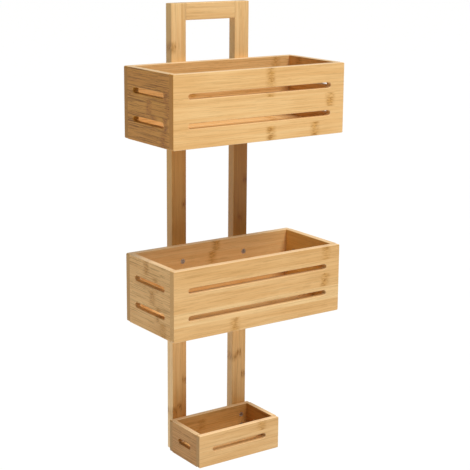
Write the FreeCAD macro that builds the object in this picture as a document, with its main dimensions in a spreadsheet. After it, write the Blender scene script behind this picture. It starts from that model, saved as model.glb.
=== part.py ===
import FreeCAD, Part

import math
import os
from collections import namedtuple

import Sketcher
from FreeCAD import Placement, Rotation, Vector

# A hanging bamboo shower caddy. Two uprights and a top rail make a narrow frame, and the rail hangs
# over a hook or a tap. Three open baskets are screwed to the front of the uprights: two long ones
# with two rows of slots, and a small soap basket with one row at the foot of the frame.
#
# Millimetres. +X is to the right, -Y is the open front, +Z is up. The origin is the centre of the
# top rail's underside, the face that the caddy hangs by.

DRIVING_DIMENSIONS = [
    # alias, value, what it is
    ("post_width", 26, "an upright, seen from the front"),
    ("post_depth", 15, "uprights and rail, front to back"),
    ("rail_height", 25, "top rail, underside to top"),
    ("hand_gap_width", 87, "clear width between the uprights"),
    ("hand_gap_height", 60, "rail underside down to the upper basket's rim"),
    ("upper_gap", 172, "underside of the upper basket down to the middle basket's rim"),
    ("lower_gap", 175, "underside of the middle basket down to the soap basket's rim"),
    ("frame_ease", 1.2, "rounding of the uprights' and rail's edges"),
    ("basket_length", 300, "upper and middle basket, outside, left to right"),
    ("basket_depth", 132, "upper and middle basket, outside, front to back"),
    ("basket_height", 105, "upper and middle basket, outside"),
    ("panel_thickness", 10, "walls of the upper and middle basket"),
    ("slot_pitch", 41, "between the two rows of slots"),
    ("soap_length", 150, "soap basket, outside, left to right"),
    ("soap_depth", 84, "soap basket, outside, front to back"),
    ("soap_height", 52, "soap basket, outside"),
    ("soap_thickness", 8, "walls of the soap basket"),
    ("slot_height", 8, "routed slots, and the cutter that makes them"),
    ("slot_inset", 25, "a slot's end from the basket's outer corner"),
    ("panel_ease", 1, "rounding of the panels' edges and slot rims"),
    ("cleat_width", 10, "battens under the floor slats, left to right"),
    ("cleat_height", 7, "battens under the floor slats"),
    ("cleat_rise", 1, "battens above the walls' lower edge"),
    ("slat_thickness", 6, "floor slats"),
    ("slat_ease", 0.8, "rounding of the floor slats' edges"),
    ("drain_gap", 6, "between floor slats, and between slats and walls"),
    ("slat_clearance", 0.5, "a slat's end from the end panel"),
    ("rail_dowel_diameter", 6, "dowels between rail and uprights"),
    ("rail_dowel_spacing", 11, "between the two dowels of a rail joint"),
    ("rail_dowel_grip", 16, "depth of a rail dowel in each piece"),
    ("corner_dowel_diameter", 5, "dowels in the baskets' corners"),
    ("corner_dowel_grip", 12, "depth of a corner dowel in an end panel"),
    ("corner_dowel_skin", 3, "wood left in front of a corner dowel"),
    ("corner_dowel_edge", 15, "corner dowels from a long panel's top and lower edge"),
    ("soap_dowel_edge", 10, "corner dowels from a soap panel's top and lower edge"),
    ("glue_room", 0.5, "space past a dowel's end"),
    ("screw_diameter", 4, "mounting screws that hold the baskets"),
    ("screw_head_diameter", 8, "their countersunk heads"),
    ("screw_bite", 11, "depth of a mounting screw in an upright"),
    ("screw_pitch", 56, "between a long basket's upper and lower screws"),
    ("soap_screw_pitch", 18, "between the soap basket's upper and lower screws"),
    ("slat_screw_diameter", 3, "screws that hold the floor slats"),
    ("slat_screw_head_diameter", 5.6, "their countersunk heads"),
    ("slat_screw_bite", 3.5, "depth of a slat screw in a slat"),
    ("screw_tip", 3, "length of a screw's point"),
    ("screw_clearance", 0.25, "around a screw where it passes through"),
    ("drill_room", 0.8, "hole past a screw's tip"),
    ("recess_width", 0.9, "cross recess in a screw head"),
    ("recess_depth", 1.2, "cross recess in a screw head"),
]

# How a piece's own x, y and z lie in the caddy.
UPRIGHT = Rotation()
FACING_FRONT = Rotation(Vector(1, 0, 0), Vector(0, 0, 1), Vector(0, -1, 0), "ZXY")
FACING_LEFT = Rotation(Vector(0, -1, 0), Vector(0, 0, 1), Vector(-1, 0, 0), "ZXY")
FACING_DOWN = Rotation(Vector(1, 0, 0), Vector(0, -1, 0), Vector(0, 0, -1), "ZXY")

Basket = namedtuple("Basket", "name length depth height wall rim slot_rows slats screw_pitch dowel_edge")

FRONT_OF_POSTS = "-dims.post_depth / 2"
POST_PITCH = "(dims.hand_gap_width + dims.post_width)"
POST_LENGTH = (
    "(dims.rail_height + dims.hand_gap_height + 2 * dims.basket_height"
    " + dims.upper_gap + dims.lower_gap + dims.soap_height)"
)

BASKETS = [
    Basket(
        name="upper_basket",
        length="dims.basket_length",
        depth="dims.basket_depth",
        height="dims.basket_height",
        wall="dims.panel_thickness",
        rim="-dims.hand_gap_height",
        slot_rows=2,
        slats=4,
        screw_pitch="dims.screw_pitch",
        dowel_edge="dims.corner_dowel_edge",
    ),
    Basket(
        name="middle_basket",
        length="dims.basket_length",
        depth="dims.basket_depth",
        height="dims.basket_height",
        wall="dims.panel_thickness",
        rim="-(dims.hand_gap_height + dims.basket_height + dims.upper_gap)",
        slot_rows=2,
        slats=4,
        screw_pitch="dims.screw_pitch",
        dowel_edge="dims.corner_dowel_edge",
    ),
    Basket(
        name="soap_basket",
        length="dims.soap_length",
        depth="dims.soap_depth",
        height="dims.soap_height",
        wall="dims.soap_thickness",
        rim="-(dims.hand_gap_height + 2 * dims.basket_height + dims.upper_gap + dims.lower_gap)",
        slot_rows=1,
        slats=3,
        screw_pitch="dims.soap_screw_pitch",
        dowel_edge="dims.soap_dowel_edge",
    ),
]

doc = FreeCAD.newDocument("shower_caddy")
sheet = doc.addObject("Spreadsheet::Sheet", "dims")
nodes = []


def fill_sheet():
    """Write the driving dimensions into the spreadsheet, one row each."""
    for row, (alias, value, note) in enumerate(DRIVING_DIMENSIONS, start=1):
        sheet.set(f"A{row}", alias)
        sheet.set(f"B{row}", str(value))
        sheet.setAlias(f"B{row}", alias)
        sheet.set(f"C{row}", note)
    doc.recompute()


def value_of(expression):
    """The number that an expression over the spreadsheet gives now."""
    return float(sheet.evalExpression(expression))


# ---------------------------------------------------------------- bodies, sketches and features


def new_piece(label, rotation, x, y, z):
    """A body that is one node, with its place bound to the spreadsheet."""
    body = doc.addObject("PartDesign::Body", label)
    body.Label = label
    body.Placement = Placement(Vector(), rotation)
    for axis, expression in (("x", x), ("y", y), ("z", z)):
        body.setExpression(f"Placement.Base.{axis}", expression)
    nodes.append(body)
    return body


def new_sketch(body, name, plane="XY_Plane", offset=None):
    """A sketch on one of the body's own origin planes, moved off it along its normal by offset."""
    sketch = body.newObject("Sketcher::SketchObject", f"{body.Label}_{name}")
    origin_plane = next(f for f in body.Origin.OriginFeatures if f.Role == plane)
    sketch.AttachmentSupport = (origin_plane, [""])
    sketch.MapMode = "FlatFace"
    if offset:
        sketch.setExpression("AttachmentOffset.Base.z", offset)
    return sketch


def dimension(sketch, kind, *where, size):
    """Add a dimension whose size is bound to the spreadsheet."""
    index = sketch.addConstraint(Sketcher.Constraint(kind, *where, value_of(size)))
    name = f"size_{index}"
    sketch.renameConstraint(index, name)
    sketch.setExpression(f"Constraints.{name}", size)


def draw_polygon(sketch, corners):
    """Straight edges round a list of corners, joined end to end. Returns each edge's index."""
    edges = []
    for start, end in zip(corners, corners[1:] + corners[:1]):
        edges.append(sketch.addGeometry(Part.LineSegment(Vector(*start), Vector(*end))))
    for edge, following in zip(edges, edges[1:] + edges[:1]):
        sketch.addConstraint(Sketcher.Constraint("Coincident", edge, 2, following, 1))
    return edges


def draw_rectangle(sketch, width, height, centred=False):
    """A rectangle with its lower left corner, or its centre, at the sketch's origin."""
    w, h = value_of(width), value_of(height)
    left, low = (-w / 2, -h / 2) if centred else (0, 0)
    corners = [(left, low), (left + w, low), (left + w, low + h), (left, low + h)]
    bottom, right, top, left_edge = draw_polygon(sketch, corners)
    for edge in (bottom, top):
        sketch.addConstraint(Sketcher.Constraint("Horizontal", edge))
    for edge in (right, left_edge):
        sketch.addConstraint(Sketcher.Constraint("Vertical", edge))
    if centred:
        sketch.addConstraint(Sketcher.Constraint("Symmetric", bottom, 1, right, 2, -1, 1))
    else:
        sketch.addConstraint(Sketcher.Constraint("Coincident", bottom, 1, -1, 1))
    dimension(sketch, "DistanceX", bottom, 1, bottom, 2, size=width)
    dimension(sketch, "DistanceY", right, 1, right, 2, size=height)


def draw_slot(sketch, centre_x, centre_y, length, height):
    """A round-ended slot that lies along the sketch's x axis."""
    x, y = value_of(centre_x), value_of(centre_y)
    radius = value_of(height) / 2
    reach = value_of(length) / 2 - radius
    ends = []
    for side, start in ((-1, math.pi / 2), (1, -math.pi / 2)):
        circle = Part.Circle(Vector(x + side * reach, y), Vector(0, 0, 1), radius)
        ends.append(sketch.addGeometry(Part.ArcOfCircle(circle, start, start + math.pi)))
    edges = []
    for level in (-1, 1):
        left_end, right_end = (Vector(x + side * reach, y + level * radius) for side in (-1, 1))
        edges.append(sketch.addGeometry(Part.LineSegment(left_end, right_end)))
    left, right = ends
    lower, upper = edges
    # An arc runs anticlockwise, so the left one starts at the top and the right one at the bottom.
    for joint in ((left, 2, lower, 1), (right, 1, lower, 2), (right, 2, upper, 2), (left, 1, upper, 1)):
        sketch.addConstraint(Sketcher.Constraint("Tangent", *joint))
    sketch.addConstraint(Sketcher.Constraint("Horizontal", lower))
    sketch.addConstraint(Sketcher.Constraint("Equal", left, right))
    dimension(sketch, "Radius", left, size=f"{height} / 2")
    dimension(sketch, "DistanceX", left, 3, right, 3, size=f"{length} - {height}")
    dimension(sketch, "DistanceX", -1, 1, left, 3, size=f"{centre_x} - ({length} - {height}) / 2")
    dimension(sketch, "DistanceY", -1, 1, left, 3, size=centre_y)


def draw_circles(sketch, centres, diameter):
    """A circle of one diameter at each centre, whose x and y are expressions."""
    for x, y in centres:
        place = Vector(value_of(x), value_of(y))
        circle = sketch.addGeometry(Part.Circle(place, Vector(0, 0, 1), value_of(diameter) / 2))
        dimension(sketch, "Diameter", circle, size=diameter)
        dimension(sketch, "DistanceX", -1, 1, circle, 3, size=x)
        dimension(sketch, "DistanceY", -1, 1, circle, 3, size=y)


def pad(body, sketch, length):
    """Extrude a sketch along its normal."""
    feature = body.newObject("PartDesign::Pad", f"{sketch.Name}_pad")
    feature.Profile = sketch
    feature.setExpression("Length", length)
    doc.recompute()
    return feature


def cut(body, sketch, depth=None, along_normal=False):
    """Cut a sketch into the body to a depth, or right through where there is none."""
    before = body.Tip.Shape.Volume
    feature = body.newObject("PartDesign::Pocket", f"{sketch.Name}_cut")
    feature.Profile = sketch
    feature.Reversed = along_normal
    if depth:
        feature.setExpression("Length", depth)
    else:
        feature.Type = "ThroughAll"
    doc.recompute()
    if feature.Shape.Volume > before - 1e-3:
        raise RuntimeError(f"{feature.Name} cuts nothing")
    return feature


def countersunk_holes(body, sketch, diameter, head_diameter):
    """Through holes with a 90 degree countersink that seats a screw's head."""
    feature = body.newObject("PartDesign::Hole", f"{sketch.Name}_drilled")
    feature.Profile = sketch
    doc.recompute()
    feature.DepthType = "ThroughAll"
    feature.HoleCutType = "Countersink"
    feature.HoleCutCustomValues = True
    feature.HoleCutCountersinkAngle = 90
    feature.setExpression("Diameter", diameter)
    feature.setExpression("HoleCutDiameter", head_diameter)
    doc.recompute()
    return feature


def repeat(body, features, sketch, *rows):
    """Repeat features in a grid. Each row is a sketch axis, a pitch and how many."""
    grid = body.newObject("PartDesign::MultiTransform", f"{sketch.Name}_grid")
    patterns = []
    for axis, pitch, count in rows:
        pattern = body.newObject("PartDesign::LinearPattern", f"{grid.Name}_{axis}")
        pattern.Direction = (sketch, [axis])
        pattern.setExpression("Length", f"({pitch}) * {count - 1}")
        pattern.Occurrences = count
        patterns.append(pattern)
    grid.Originals = features
    grid.Transformations = patterns
    body.Tip = grid
    doc.recompute()
    return grid


def ease(body, radius, chosen):
    """Round the edges of a body's latest shape for which chosen(middle, direction) is true."""
    tip = body.Tip
    names = []
    for number, edge in enumerate(tip.Shape.Edges, start=1):
        middle = edge.valueAt((edge.FirstParameter + edge.LastParameter) / 2)
        direction = edge.tangentAt(edge.FirstParameter) if edge.Curve.TypeId == "Part::GeomLine" else None
        if chosen(middle, direction):
            names.append(f"Edge{number}")
    feature = body.newObject("PartDesign::Fillet", f"{body.Label}_eased")
    feature.Base = (tip, names)
    feature.setExpression("Radius", radius)
    doc.recompute()
    return feature


def along(direction, axis):
    """True if an edge's direction is the named axis of its piece."""
    return direction is not None and abs(getattr(direction, axis)) > 0.99


# ---------------------------------------------------------------- frame


def build_post(name, side):
    """An upright, with its rail joint's dowel holes and the pilot holes that the baskets need."""
    post = new_piece(
        name,
        UPRIGHT,
        x=f"{side} * {POST_PITCH} / 2 - dims.post_width / 2",
        y=FRONT_OF_POSTS,
        z=f"dims.rail_height - {POST_LENGTH}",
    )
    section = new_sketch(post, "section")
    draw_rectangle(section, "dims.post_width", "dims.post_depth")
    pad(post, section, POST_LENGTH)
    ease(post, "dims.frame_ease", lambda middle, direction: True)

    inner_face = "dims.post_width" if side < 0 else None
    joint = new_sketch(post, "rail_joint", "YZ_Plane", inner_face)
    heights = [f"{POST_LENGTH} - dims.rail_height / 2 + {s} * dims.rail_dowel_spacing / 2" for s in (-1, 1)]
    draw_circles(joint, [("dims.post_depth / 2", z) for z in heights], "dims.rail_dowel_diameter")
    cut(post, joint, "dims.rail_dowel_grip + dims.glue_room", along_normal=side > 0)

    for basket in BASKETS:
        pilots = new_sketch(post, f"{basket.name}_pilots", "XZ_Plane")
        centre = f"{POST_LENGTH} - dims.rail_height + {basket.rim} - {basket.height} / 2"
        heights = [f"{centre} + {s} * {basket.screw_pitch} / 2" for s in (-1, 1)]
        draw_circles(pilots, [("dims.post_width / 2", z) for z in heights], "dims.screw_diameter")
        cut(post, pilots, "dims.screw_bite + dims.drill_room")


def build_rail():
    """The top rail, butted between the uprights, whose underside is the hanging face."""
    rail = new_piece("top_rail", UPRIGHT, x="-dims.hand_gap_width / 2", y=FRONT_OF_POSTS, z="0")
    plan = new_sketch(rail, "plan")
    draw_rectangle(plan, "dims.hand_gap_width", "dims.post_depth")
    pad(rail, plan, "dims.rail_height")
    ease(rail, "dims.frame_ease", lambda middle, direction: along(direction, "x"))
    heights = [f"dims.rail_height / 2 + {s} * dims.rail_dowel_spacing / 2" for s in (-1, 1)]
    for end, offset in (("left", None), ("right", "dims.hand_gap_width")):
        joint = new_sketch(rail, f"{end}_joint", "YZ_Plane", offset)
        draw_circles(joint, [("dims.post_depth / 2", z) for z in heights], "dims.rail_dowel_diameter")
        cut(rail, joint, "dims.rail_dowel_grip + dims.glue_room", along_normal=end == "left")


def build_rail_dowels():
    """Two dowels in each of the rail's two joints."""
    dowels = new_piece(
        "rail_dowels",
        UPRIGHT,
        x="-dims.hand_gap_width / 2 - dims.rail_dowel_grip",
        y="0",
        z="dims.rail_height / 2 - dims.rail_dowel_spacing / 2",
    )
    section = new_sketch(dowels, "section", "YZ_Plane")
    draw_circles(section, [("0", "0")], "dims.rail_dowel_diameter")
    dowel = pad(dowels, section, "2 * dims.rail_dowel_grip")
    repeat(
        dowels,
        [dowel],
        section,
        ("V_Axis", "dims.rail_dowel_spacing", 2),
        ("N_Axis", "dims.hand_gap_width", 2),
    )


# ---------------------------------------------------------------- baskets


def base_of(basket):
    """Height of a basket's lower edge."""
    return f"({basket.rim} - {basket.height})"


def front_of(basket):
    """Where a basket's front face is."""
    return f"({FRONT_OF_POSTS} - {basket.depth})"


def cut_slots(panel, basket, centre_x, length):
    """Rout a basket's rows of slots through a panel."""
    lowest = f"{basket.height} / 2 - {basket.slot_rows - 1} * dims.slot_pitch / 2"
    profile = new_sketch(panel, "slot")
    draw_slot(profile, centre_x, lowest, length, "dims.slot_height")
    slot = cut(panel, profile, along_normal=True)
    if basket.slot_rows > 1:
        rows = panel.newObject("PartDesign::LinearPattern", f"{panel.Label}_slot_rows")
        rows.Originals = [slot]
        rows.Direction = (profile, ["V_Axis"])
        rows.setExpression("Length", f"{basket.slot_rows - 1} * dims.slot_pitch")
        rows.Occurrences = basket.slot_rows
        panel.Tip = rows
        doc.recompute()


def corner_dowel_depth(basket):
    """How deep a corner dowel sits in a front or back panel."""
    return f"({basket.wall} - dims.corner_dowel_skin)"


def drill_long_panel(panel, basket, offset):
    """Blind dowel holes near both ends of a front or back panel, in the face at offset."""
    joint = new_sketch(panel, "corner_joint", "XY_Plane", offset)
    centres = [
        (x, y)
        for x in (f"{basket.wall} / 2", f"{basket.length} - {basket.wall} / 2")
        for y in (basket.dowel_edge, f"{basket.height} - {basket.dowel_edge}")
    ]
    draw_circles(joint, centres, "dims.corner_dowel_diameter")
    depth = f"{corner_dowel_depth(basket)} + dims.glue_room"
    cut(panel, joint, depth, along_normal=offset is None)


def build_front_panel(basket):
    """The slotted front, which covers the end panels' ends."""
    panel = new_piece(
        f"{basket.name}_front_panel",
        FACING_FRONT,
        x=f"-{basket.length} / 2",
        y=f"{front_of(basket)} + {basket.wall}",
        z=base_of(basket),
    )
    outline = new_sketch(panel, "outline")
    draw_rectangle(outline, basket.length, basket.height)
    pad(panel, outline, basket.wall)
    cut_slots(panel, basket, f"{basket.length} / 2", f"{basket.length} - 2 * dims.slot_inset")
    # The upright edges that meet the end panels stay sharp, and all others are rounded.
    thickness, length = value_of(basket.wall), value_of(basket.length)
    ease(
        panel,
        "dims.panel_ease",
        lambda middle, direction: is_rim(middle, direction, thickness, length)
        and not (along(direction, "y") and middle.z < thickness / 2),
    )
    drill_long_panel(panel, basket, None)


def build_back_panel(basket):
    """The plain back, which is screwed to the uprights from inside the basket."""
    panel = new_piece(
        f"{basket.name}_back_panel",
        FACING_FRONT,
        x=f"-{basket.length} / 2",
        y=FRONT_OF_POSTS,
        z=base_of(basket),
    )
    outline = new_sketch(panel, "outline")
    draw_rectangle(outline, basket.length, basket.height)
    pad(panel, outline, basket.wall)
    thickness, length = value_of(basket.wall), value_of(basket.length)
    ease(
        panel,
        "dims.panel_ease",
        lambda middle, direction: is_rim(middle, direction, thickness, length)
        and not (along(direction, "y") and middle.z > thickness / 2),
    )
    drill_long_panel(panel, basket, basket.wall)
    holes = new_sketch(panel, "screw_holes", "XY_Plane", basket.wall)
    centres = [
        (
            f"{basket.length} / 2 + {i} * {POST_PITCH} / 2",
            f"{basket.height} / 2 + {j} * {basket.screw_pitch} / 2",
        )
        for i in (-1, 1)
        for j in (-1, 1)
    ]
    draw_circles(holes, centres, "dims.screw_diameter")
    countersunk_holes(
        panel, holes, "dims.screw_diameter + 2 * dims.screw_clearance", "dims.screw_head_diameter"
    )


def is_rim(middle, direction, thickness, length):
    """True for edges on a panel's two faces and at its four corners, but not for a slot's seams."""
    on_a_face = middle.z < 1e-3 or middle.z > thickness - 1e-3
    at_an_end = middle.x < 1e-3 or middle.x > length - 1e-3
    return on_a_face or (along(direction, "z") and at_an_end)


def build_end_panel(basket, side):
    """A slotted end, held between the front and the back panel."""
    hand = "left" if side < 0 else "right"
    inner_depth = f"({basket.depth} - 2 * {basket.wall})"
    outer_face = f"{side} * ({basket.length} / 2 - {basket.wall} / 2) + {basket.wall} / 2"
    panel = new_piece(
        f"{basket.name}_{hand}_end_panel",
        FACING_LEFT,
        x=outer_face,
        y=f"{FRONT_OF_POSTS} - {basket.wall}",
        z=base_of(basket),
    )
    outline = new_sketch(panel, "outline")
    draw_rectangle(outline, inner_depth, basket.height)
    pad(panel, outline, basket.wall)
    cut_slots(panel, basket, f"{inner_depth} / 2", f"{basket.depth} - 2 * dims.slot_inset")
    # The edges that butt against the long panels stay sharp.
    thickness, depth = value_of(basket.wall), value_of(inner_depth)
    ease(
        panel,
        "dims.panel_ease",
        lambda middle, direction: is_rim(middle, direction, thickness, depth)
        and not along(direction, "y")
        and not along(direction, "z"),
    )
    # Dowel sockets in both ends of the panel.
    heights = (basket.dowel_edge, f"{basket.height} - {basket.dowel_edge}")
    for end, offset in (("rear", None), ("front", inner_depth)):
        joint = new_sketch(panel, f"{end}_joint", "YZ_Plane", offset)
        draw_circles(joint, [(y, f"{basket.wall} / 2") for y in heights], "dims.corner_dowel_diameter")
        cut(panel, joint, "dims.corner_dowel_grip + dims.glue_room", along_normal=end == "rear")


def build_corner_dowels(basket):
    """Two dowels in each of a basket's four corners, all along Y."""
    depth = corner_dowel_depth(basket)
    dowels = new_piece(
        f"{basket.name}_corner_dowels",
        FACING_FRONT,
        x=f"{basket.wall} / 2 - {basket.length} / 2",
        y=f"{FRONT_OF_POSTS} - {basket.wall} + {depth}",
        z=f"{base_of(basket)} + {basket.dowel_edge}",
    )
    section = new_sketch(dowels, "section")
    draw_circles(section, [("0", "0")], "dims.corner_dowel_diameter")
    dowel = pad(dowels, section, f"{depth} + dims.corner_dowel_grip")
    across = f"{basket.depth} - 2 * {basket.wall} + {depth} - dims.corner_dowel_grip"
    repeat(
        dowels,
        [dowel],
        section,
        ("H_Axis", f"{basket.length} - {basket.wall}", 2),
        ("V_Axis", f"{basket.height} - 2 * {basket.dowel_edge}", 2),
        ("N_Axis", across, 2),
    )


def slat_width(basket):
    """Width of a floor slat: what the drain gaps leave of the space between front and back."""
    count = basket.slats
    return f"(({basket.depth} - 2 * {basket.wall} - {count + 1} * dims.drain_gap) / {count})"


def slat_middle(basket, number):
    """Where the middle of a floor slat is, front to back. Number 0 is next to the back panel."""
    step = f"({slat_width(basket)} + dims.drain_gap)"
    return f"{FRONT_OF_POSTS} - {basket.wall} - dims.drain_gap - {slat_width(basket)} / 2 - {number} * {step}"


def cleat_middle(basket):
    """How far the middle of a cleat is from the basket's middle."""
    return f"({basket.length} / 2 - {basket.wall} - dims.cleat_width / 2)"


def build_cleat(basket, side):
    """A batten glued to an end panel, which the floor slats lie on."""
    hand = "left" if side < 0 else "right"
    inner_depth = f"({basket.depth} - 2 * {basket.wall})"
    cleat = new_piece(
        f"{basket.name}_{hand}_cleat",
        FACING_DOWN,
        x=f"{side} * {cleat_middle(basket)} - dims.cleat_width / 2",
        y=f"{FRONT_OF_POSTS} - {basket.wall}",
        z=f"{base_of(basket)} + dims.cleat_rise + dims.cleat_height",
    )
    plan = new_sketch(cleat, "plan")
    draw_rectangle(plan, "dims.cleat_width", inner_depth)
    pad(cleat, plan, "dims.cleat_height")
    holes = new_sketch(cleat, "screw_holes", "XY_Plane", "dims.cleat_height")
    step = f"({slat_width(basket)} + dims.drain_gap)"
    centres = [
        ("dims.cleat_width / 2", f"dims.drain_gap + {slat_width(basket)} / 2 + {number} * {step}")
        for number in range(basket.slats)
    ]
    draw_circles(holes, centres, "dims.slat_screw_diameter")
    countersunk_holes(
        cleat,
        holes,
        "dims.slat_screw_diameter + 2 * dims.screw_clearance",
        "dims.slat_screw_head_diameter",
    )


def build_slat(basket, number):
    """A floor slat, which runs from end panel to end panel over both cleats."""
    length = f"({basket.length} - 2 * {basket.wall} - 2 * dims.slat_clearance)"
    slat = new_piece(
        f"{basket.name}_floor_slat_{number + 1}",
        UPRIGHT,
        x=f"-{length} / 2",
        y=f"{slat_middle(basket, number)} - {slat_width(basket)} / 2",
        z=f"{base_of(basket)} + dims.cleat_rise + dims.cleat_height",
    )
    plan = new_sketch(slat, "plan")
    draw_rectangle(plan, length, slat_width(basket))
    pad(slat, plan, "dims.slat_thickness")
    ease(slat, "dims.slat_ease", lambda middle, direction: True)
    pilots = new_sketch(slat, "pilots")
    reach = cleat_middle(basket)
    centres = [(f"{length} / 2 + {s} * {reach}", f"{slat_width(basket)} / 2") for s in (-1, 1)]
    draw_circles(pilots, centres, "dims.slat_screw_diameter")
    cut(slat, pilots, "dims.slat_screw_bite + dims.drill_room", along_normal=True)


# ---------------------------------------------------------------- screws


def turn_screw(body, diameter, head_diameter, length):
    """A countersunk screw with a cross recess. Its head is at z = 0 and its tip points along -z."""
    head, shank = value_of(head_diameter) / 2, value_of(diameter) / 2
    long, tip = value_of(length), value_of("dims.screw_tip")
    profile = new_sketch(body, "profile", "XZ_Plane")
    corners = [(0, 0), (head, 0), (shank, shank - head), (shank, tip - long), (0, -long)]
    top, cone, side, point, axis = draw_polygon(profile, corners)
    profile.addConstraint(Sketcher.Constraint("Coincident", top, 1, -1, 1))
    profile.addConstraint(Sketcher.Constraint("Horizontal", top))
    profile.addConstraint(Sketcher.Constraint("Vertical", side))
    profile.addConstraint(Sketcher.Constraint("Vertical", axis))
    dimension(profile, "DistanceX", top, 1, top, 2, size=f"{head_diameter} / 2")
    dimension(profile, "DistanceX", -1, 1, side, 1, size=f"{diameter} / 2")
    dimension(profile, "DistanceY", cone, 2, cone, 1, size=f"({head_diameter} - {diameter}) / 2")
    dimension(profile, "DistanceY", point, 2, point, 1, size="dims.screw_tip")
    dimension(profile, "DistanceY", point, 2, -1, 1, size=length)
    turned = body.newObject("PartDesign::Revolution", f"{body.Label}_turned")
    turned.Profile = profile
    turned.ReferenceAxis = (profile, ["V_Axis"])
    turned.Angle = 360
    doc.recompute()
    features = [turned]
    blade = f"{head_diameter} * 0.55"
    for arm, width, height in (("wide", blade, "dims.recess_width"), ("tall", "dims.recess_width", blade)):
        recess = new_sketch(body, f"{arm}_recess")
        draw_rectangle(recess, width, height, centred=True)
        features.append(cut(body, recess, "dims.recess_depth"))
    return features, recess


def build_mounting_screws(basket):
    """Four screws from inside a basket, through its back panel and into the uprights."""
    screws = new_piece(
        f"{basket.name}_mounting_screws",
        FACING_FRONT,
        x=f"-{POST_PITCH} / 2",
        y=f"{FRONT_OF_POSTS} - {basket.wall}",
        z=f"{base_of(basket)} + {basket.height} / 2 - {basket.screw_pitch} / 2",
    )
    length = f"({basket.wall} + dims.screw_bite)"
    features, face = turn_screw(screws, "dims.screw_diameter", "dims.screw_head_diameter", length)
    repeat(screws, features, face, ("H_Axis", POST_PITCH, 2), ("V_Axis", basket.screw_pitch, 2))


def build_slat_screws(basket):
    """Two screws for each floor slat, from below and through the cleats."""
    screws = new_piece(
        f"{basket.name}_slat_screws",
        FACING_DOWN,
        x=f"-{cleat_middle(basket)}",
        y=slat_middle(basket, 0),
        z=f"{base_of(basket)} + dims.cleat_rise",
    )
    length = "(dims.cleat_height + dims.slat_screw_bite)"
    diameters = ("dims.slat_screw_diameter", "dims.slat_screw_head_diameter")
    features, face = turn_screw(screws, *diameters, length)
    step = f"{slat_width(basket)} + dims.drain_gap"
    repeat(
        screws,
        features,
        face,
        ("H_Axis", f"2 * {cleat_middle(basket)}", 2),
        ("V_Axis", step, basket.slats),
    )


def build_basket(basket):
    """All the pieces of one basket."""
    build_front_panel(basket)
    build_back_panel(basket)
    for side in (-1, 1):
        build_end_panel(basket, side)
        build_cleat(basket, side)
    build_corner_dowels(basket)
    for number in range(basket.slats):
        build_slat(basket, number)
    build_slat_screws(basket)
    build_mounting_screws(basket)


# ---------------------------------------------------------------- the whole caddy


def check_document():
    """Stop if any object failed, or any node isn't a sound solid."""
    for item in doc.Objects:
        if "Invalid" in item.State or "Error" in item.State:
            raise RuntimeError(f"{item.Name} failed: {item.State}")
    for node in nodes:
        if node.Shape.isNull() or not node.Shape.isValid() or not node.Shape.Solids:
            raise RuntimeError(f"{node.Label} is not a sound solid")


def write_nodes():
    """Write each node to parts/ as a STEP file that has the node's name."""
    os.makedirs("parts", exist_ok=True)
    for node in nodes:
        node.Shape.exportStep(os.path.join("parts", f"{node.Label}.step"))
    print(len(nodes), "nodes,", sum(len(node.Shape.Solids) for node in nodes), "solids")


fill_sheet()
for post_name, post_side in (("left_post", -1), ("right_post", 1)):
    build_post(post_name, post_side)
build_rail()
build_rail_dowels()
for each_basket in BASKETS:
    build_basket(each_basket)
doc.recompute()
check_document()
write_nodes()
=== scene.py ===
import logging
import math
import random
from dataclasses import dataclass, field
from enum import Enum
from typing import Callable, ClassVar, Iterable, Sequence

import bmesh
import bpy
from mathutils import Matrix, Vector


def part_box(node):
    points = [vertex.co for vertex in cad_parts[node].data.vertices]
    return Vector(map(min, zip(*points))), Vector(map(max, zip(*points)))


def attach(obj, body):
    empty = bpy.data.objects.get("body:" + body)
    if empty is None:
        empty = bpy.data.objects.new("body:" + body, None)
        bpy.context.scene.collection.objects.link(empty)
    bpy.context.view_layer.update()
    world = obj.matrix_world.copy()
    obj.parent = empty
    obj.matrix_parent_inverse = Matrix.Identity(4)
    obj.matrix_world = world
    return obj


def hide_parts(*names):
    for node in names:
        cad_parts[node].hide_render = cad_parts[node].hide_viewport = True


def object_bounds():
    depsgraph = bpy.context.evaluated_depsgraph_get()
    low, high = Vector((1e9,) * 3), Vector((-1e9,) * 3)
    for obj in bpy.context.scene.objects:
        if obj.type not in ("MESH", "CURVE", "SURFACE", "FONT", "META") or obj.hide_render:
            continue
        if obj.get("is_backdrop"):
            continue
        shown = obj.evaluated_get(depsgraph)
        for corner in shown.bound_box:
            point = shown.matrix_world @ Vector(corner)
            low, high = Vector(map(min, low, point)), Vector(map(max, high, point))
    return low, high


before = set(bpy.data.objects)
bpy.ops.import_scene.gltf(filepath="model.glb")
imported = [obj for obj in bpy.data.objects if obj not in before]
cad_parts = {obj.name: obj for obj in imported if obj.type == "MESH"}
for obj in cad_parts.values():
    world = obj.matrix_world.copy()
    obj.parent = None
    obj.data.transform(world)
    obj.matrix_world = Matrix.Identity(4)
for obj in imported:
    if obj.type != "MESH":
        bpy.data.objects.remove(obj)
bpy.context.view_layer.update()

# A hanging bamboo shower caddy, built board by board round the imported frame: two uprights and a top
# rail, two long slotted baskets and a soap basket, with slatted floors on cleats. Every board is a
# quad mesh in its own coordinates, with x along the grain, y across the strips that it is pressed
# from, and z through its thickness. All lengths are in metres.

MM = 0.001
SAME_PLACE = 1e-6  # places closer than this are one place
FAR_AWAY = 9.0  # where a joint lies that a strip doesn't have
LOG = logging.getLogger("shower_caddy")

Socket = bpy.types.NodeSocket
Vert = bmesh.types.BMVert
Edge = bmesh.types.BMEdge
Stops = tuple[tuple[float, str], ...]  # positions and sRGB hex colours
MIX_A, MIX_B, MIX_RESULT = 6, 7, 2  # a Mix node's sockets for colours


# ---------------------------------------------------------------- colours and shader nodes


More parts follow.
